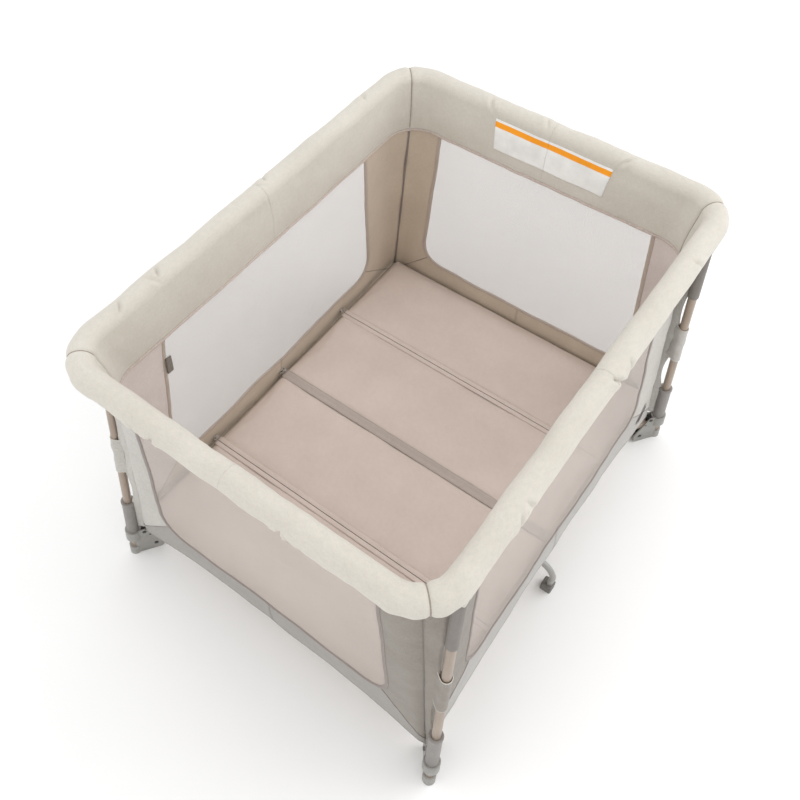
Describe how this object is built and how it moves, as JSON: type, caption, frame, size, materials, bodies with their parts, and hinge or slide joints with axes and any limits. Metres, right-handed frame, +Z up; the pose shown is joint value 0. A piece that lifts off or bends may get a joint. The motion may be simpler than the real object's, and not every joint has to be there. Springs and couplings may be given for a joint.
{
  "type": "folding playpen",
  "caption": "Folding fabric playpen with padded top rail, mesh walls, splayed posts, collapsing hub frame and a panelled mattress pad.",
  "frame": {"origin": "on the floor, under the middle of the pen", "axes": "+X along the pen's length to the right, +Y to the rear, +Z up"},
  "size_m": [1.05, 0.8564, 0.784],
  "materials": {
    "cover_fabric": "woven polyester over foam, off-white, matt",
    "wall_fabric": "melange polyester and mesh, light grey-beige, matt",
    "mattress_fabric": "fine woven polyester, pinkish beige, soft sheen",
    "webbing": "ribbed webbing, dark grey",
    "post_tube": "satin champagne powder coat",
    "bar_tube": "satin champagne powder coat",
    "rail_tube": "satin champagne powder coat",
    "leg_tube": "satin grey powder coat",
    "foot_plastic": "moulded, fine texture",
    "sleeve_plastic": "moulded, satin",
    "casting_plastic": "moulded, fine texture",
    "hub_plastic": "moulded, fine texture",
    "rivet_steel": "blackened",
    "foot_rubber": "matt"
  },
  "bodies": {
    "hub": {"hub_body": "hub_plastic", "hub_pins": "rivet_steel", "pull_strap": "webbing"},
    "front_leg": {"front_middle_leg": "leg_tube", "front_leg_pad": "foot_rubber"},
    "rear_leg": {"rear_middle_leg": "leg_tube", "rear_leg_pad": "foot_rubber"},
    "floor": {"fabric_floor": "wall_fabric"},
    "front_left_bar": {"front_left_floor_bar": "bar_tube"},
    "front_left_corner": {"front_left_post": "post_tube", "front_left_foot_bracket": "foot_plastic", "front_left_post_sleeve": "sleeve_plastic", "front_left_corner_casting": "casting_plastic", "front_left_pins_and_rivets": "rivet_steel", "front_left_fabric": "wall_fabric"},
    "front_left_long_half": {"front_left_long_rail": "rail_tube", "front_left_long_cover": "cover_fabric"},
    "front_left_short_half": {"front_left_short_rail": "rail_tube", "front_left_short_cover": "cover_fabric"},
    "front_right_bar": {"front_right_floor_bar": "bar_tube"},
    "front_right_corner": {"front_right_post": "post_tube", "front_right_foot_bracket": "foot_plastic", "front_right_post_sleeve": "sleeve_plastic", "front_right_corner_casting": "casting_plastic", "front_right_pins_and_rivets": "rivet_steel", "front_right_fabric": "wall_fabric"},
    "front_right_long_half": {"front_right_long_rail": "rail_tube", "front_right_long_cover": "cover_fabric"},
    "front_right_short_half": {"front_right_short_rail": "rail_tube", "front_right_short_cover": "cover_fabric"},
    "rear_left_bar": {"rear_left_floor_bar": "bar_tube"},
    "rear_left_corner": {"rear_left_post": "post_tube", "rear_left_foot_bracket": "foot_plastic", "rear_left_post_sleeve": "sleeve_plastic", "rear_left_corner_casting": "casting_plastic", "rear_left_pins_and_rivets": "rivet_steel", "rear_left_fabric": "wall_fabric"},
    "rear_left_long_half": {"rear_left_long_rail": "rail_tube", "rear_left_long_cover": "cover_fabric"},
    "rear_left_short_half": {"rear_left_short_rail": "rail_tube", "rear_left_short_cover": "cover_fabric"},
    "rear_right_bar": {"rear_right_floor_bar": "bar_tube"},
    "rear_right_corner": {"rear_right_post": "post_tube", "rear_right_foot_bracket": "foot_plastic", "rear_right_post_sleeve": "sleeve_plastic", "rear_right_corner_casting": "casting_plastic", "rear_right_pins_and_rivets": "rivet_steel", "rear_right_fabric": "wall_fabric"},
    "rear_right_long_half": {"rear_right_long_rail": "rail_tube", "rear_right_long_cover": "cover_fabric"},
    "rear_right_short_half": {"rear_right_short_rail": "rail_tube", "rear_right_short_cover": "cover_fabric"},
    "front_latch_body": {"front_latch": "casting_plastic"},
    "rear_latch_body": {"rear_latch": "casting_plastic"},
    "left_latch_body": {"left_latch": "casting_plastic"},
    "right_latch_body": {"right_latch": "casting_plastic"},
    "mattress_1": {"mattress_panel_1": "mattress_fabric"},
    "mattress_2": {"mattress_panel_2": "mattress_fabric"},
    "mattress_3": {"mattress_panel_3": "mattress_fabric"},
    "mattress_4": {"mattress_panel_4": "mattress_fabric"}
  },
  "joints": [
    {"name": "fold", "type": "hinge", "parent": "hub", "child": "front_left_bar", "pos_m": [-0.09421, -0.1194, 0.068], "axis": [0.5819, -0.8133, 0], "range_deg": [0, 83], "deforming": ["front_left_fabric", "front_left_long_cover", "front_left_short_cover", "front_right_fabric", "front_right_long_cover", "front_right_short_cover", "rear_left_fabric", "rear_left_long_cover", "rear_left_short_cover", "rear_right_fabric", "rear_right_long_cover", "rear_right_short_cover", "fabric_floor", "mattress_panel_1", "mattress_panel_2", "mattress_panel_3", "mattress_panel_4"]},
    {"name": "front_left_post_fold", "type": "hinge", "parent": "front_left_bar", "child": "front_left_corner", "pos_m": [-0.47021, -0.3884, 0.068], "axis": [-0.5819, 0.8133, 0], "range_deg": [0, 83]},
    {"name": "front_left_long_fold", "type": "hinge", "parent": "front_left_corner", "child": "front_left_long_half", "pos_m": [-0.393, -0.373, 0.76], "axis": [0, 1, 0], "range_deg": [0, 83]},
    {"name": "front_left_short_fold", "type": "hinge", "parent": "front_left_corner", "child": "front_left_short_half", "pos_m": [-0.501, -0.286, 0.76], "axis": [-1, 0, 0], "range_deg": [0, 83]},
    {"name": "front_right_bar_fold", "type": "hinge", "parent": "hub", "child": "front_right_bar", "pos_m": [0.09421, -0.1194, 0.068], "axis": [0.5819, 0.8133, 0], "range_deg": [0, 83]},
    {"name": "front_right_post_fold", "type": "hinge", "parent": "front_right_bar", "child": "front_right_corner", "pos_m": [0.47021, -0.3884, 0.068], "axis": [-0.5819, -0.8133, 0], "range_deg": [0, 83]},
    {"name": "front_right_long_fold", "type": "hinge", "parent": "front_right_corner", "child": "front_right_long_half", "pos_m": [0.393, -0.373, 0.76], "axis": [0, -1, 0], "range_deg": [0, 83]},
    {"name": "front_right_short_fold", "type": "hinge", "parent": "front_right_corner", "child": "front_right_short_half", "pos_m": [0.501, -0.286, 0.76], "axis": [-1, 0, 0], "range_deg": [0, 83]},
    {"name": "rear_left_bar_fold", "type": "hinge", "parent": "hub", "child": "rear_left_bar", "pos_m": [-0.09421, 0.1194, 0.068], "axis": [-0.5819, -0.8133, 0], "range_deg": [0, 83]},
    {"name": "rear_left_post_fold", "type": "hinge", "parent": "rear_left_bar", "child": "rear_left_corner", "pos_m": [-0.47021, 0.3884, 0.068], "axis": [0.5819, 0.8133, 0], "range_deg": [0, 83]},
    {"name": "rear_left_long_fold", "type": "hinge", "parent": "rear_left_corner", "child": "rear_left_long_half", "pos_m": [-0.393, 0.373, 0.76], "axis": [0, 1, 0], "range_deg": [0, 83]},
    {"name": "rear_left_short_fold", "type": "hinge", "parent": "rear_left_corner", "child": "rear_left_short_half", "pos_m": [-0.501, 0.286, 0.76], "axis": [1, 0, 0], "range_deg": [0, 83]},
    {"name": "rear_right_bar_fold", "type": "hinge", "parent": "hub", "child": "rear_right_bar", "pos_m": [0.09421, 0.1194, 0.068], "axis": [-0.5819, 0.8133, 0], "range_deg": [0, 83]},
    {"name": "rear_right_post_fold", "type": "hinge", "parent": "rear_right_bar", "child": "rear_right_corner", "pos_m": [0.47021, 0.3884, 0.068], "axis": [0.5819, -0.8133, 0], "range_deg": [0, 83]},
    {"name": "rear_right_long_fold", "type": "hinge", "parent": "rear_right_corner", "child": "rear_right_long_half", "pos_m": [0.393, 0.373, 0.76], "axis": [0, -1, 0], "range_deg": [0, 83]},
    {"name": "rear_right_short_fold", "type": "hinge", "parent": "rear_right_corner", "child": "rear_right_short_half", "pos_m": [0.501, 0.286, 0.76], "axis": [1, 0, 0], "range_deg": [0, 83]},
    {"name": "front_latch_fold", "type": "hinge", "parent": "front_left_long_half", "child": "front_latch_body", "pos_m": [-0.017, -0.373, 0.76], "axis": [0, -1, 0], "range_deg": [0, 83]},
    {"name": "rear_latch_fold", "type": "hinge", "parent": "rear_left_long_half", "child": "rear_latch_body", "pos_m": [-0.017, 0.373, 0.76], "axis": [0, -1, 0], "range_deg": [0, 83]},
    {"name": "left_latch_fold", "type": "hinge", "parent": "front_left_short_half", "child": "left_latch_body", "pos_m": [-0.501, -0.017, 0.76], "axis": [1, 0, 0], "range_deg": [0, 83]},
    {"name": "right_latch_fold", "type": "hinge", "parent": "front_right_short_half", "child": "right_latch_body", "pos_m": [0.501, -0.017, 0.76], "axis": [1, 0, 0], "range_deg": [0, 83]},
    {"name": "front_leg_fold", "type": "hinge", "parent": "hub", "child": "front_leg", "pos_m": [-0.015, -0.088, 0.068], "axis": [1, 0, 0], "range_deg": [0, 95]},
    {"name": "rear_leg_fold", "type": "hinge", "parent": "hub", "child": "rear_leg", "pos_m": [0.015, 0.088, 0.068], "axis": [-1, 0, 0], "range_deg": [0, 95]},
    {"name": "floor_rise", "type": "slide", "parent": "hub", "child": "floor", "axis": [0, 0, 1], "range_m": [0, 0.19]},
    {"name": "mattress_lift", "type": "slide", "parent": "floor", "child": "mattress_2", "axis": [0, 0, 1], "range_m": [0, 0.66]},
    {"name": "left_panel_fold", "type": "hinge", "parent": "mattress_2", "child": "mattress_1", "pos_m": [-0.23902, 0, 0.18], "axis": [0, 1, 0], "range_deg": [0, 90]},
    {"name": "middle_panel_fold", "type": "hinge", "parent": "mattress_2", "child": "mattress_3", "pos_m": [0, 0, 0.18], "axis": [0, -1, 0], "range_deg": [0, 90]},
    {"name": "right_panel_fold", "type": "hinge", "parent": "mattress_3", "child": "mattress_4", "pos_m": [0.23902, 0, 0.18], "axis": [0, -1, 0], "range_deg": [0, 90]}
  ],
  "couplings": [
    {"joint": "front_left_post_fold", "follows": "fold", "ratio": 1},
    {"joint": "front_left_long_fold", "follows": "fold", "ratio": 1},
    {"joint": "front_left_short_fold", "follows": "fold", "ratio": 1},
    {"joint": "front_right_bar_fold", "follows": "fold", "ratio": 1},
    {"joint": "front_right_post_fold", "follows": "fold", "ratio": 1},
    {"joint": "front_right_long_fold", "follows": "fold", "ratio": 1},
    {"joint": "front_right_short_fold", "follows": "fold", "ratio": 1},
    {"joint": "rear_left_bar_fold", "follows": "fold", "ratio": 1},
    {"joint": "rear_left_post_fold", "follows": "fold", "ratio": 1},
    {"joint": "rear_left_long_fold", "follows": "fold", "ratio": 1},
    {"joint": "rear_left_short_fold", "follows": "fold", "ratio": 1},
    {"joint": "rear_right_bar_fold", "follows": "fold", "ratio": 1},
    {"joint": "rear_right_post_fold", "follows": "fold", "ratio": 1},
    {"joint": "rear_right_long_fold", "follows": "fold", "ratio": 1},
    {"joint": "rear_right_short_fold", "follows": "fold", "ratio": 1},
    {"joint": "front_latch_fold", "follows": "fold", "ratio": 1},
    {"joint": "rear_latch_fold", "follows": "fold", "ratio": 1},
    {"joint": "left_latch_fold", "follows": "fold", "ratio": 1},
    {"joint": "right_latch_fold", "follows": "fold", "ratio": 1},
    {"joint": "front_leg_fold", "follows": "fold", "ratio": 1.1445},
    {"joint": "rear_leg_fold", "follows": "fold", "ratio": 1.1445},
    {"joint": "floor_rise", "follows": "fold", "m_per_rad": 0.12564}
  ]
}
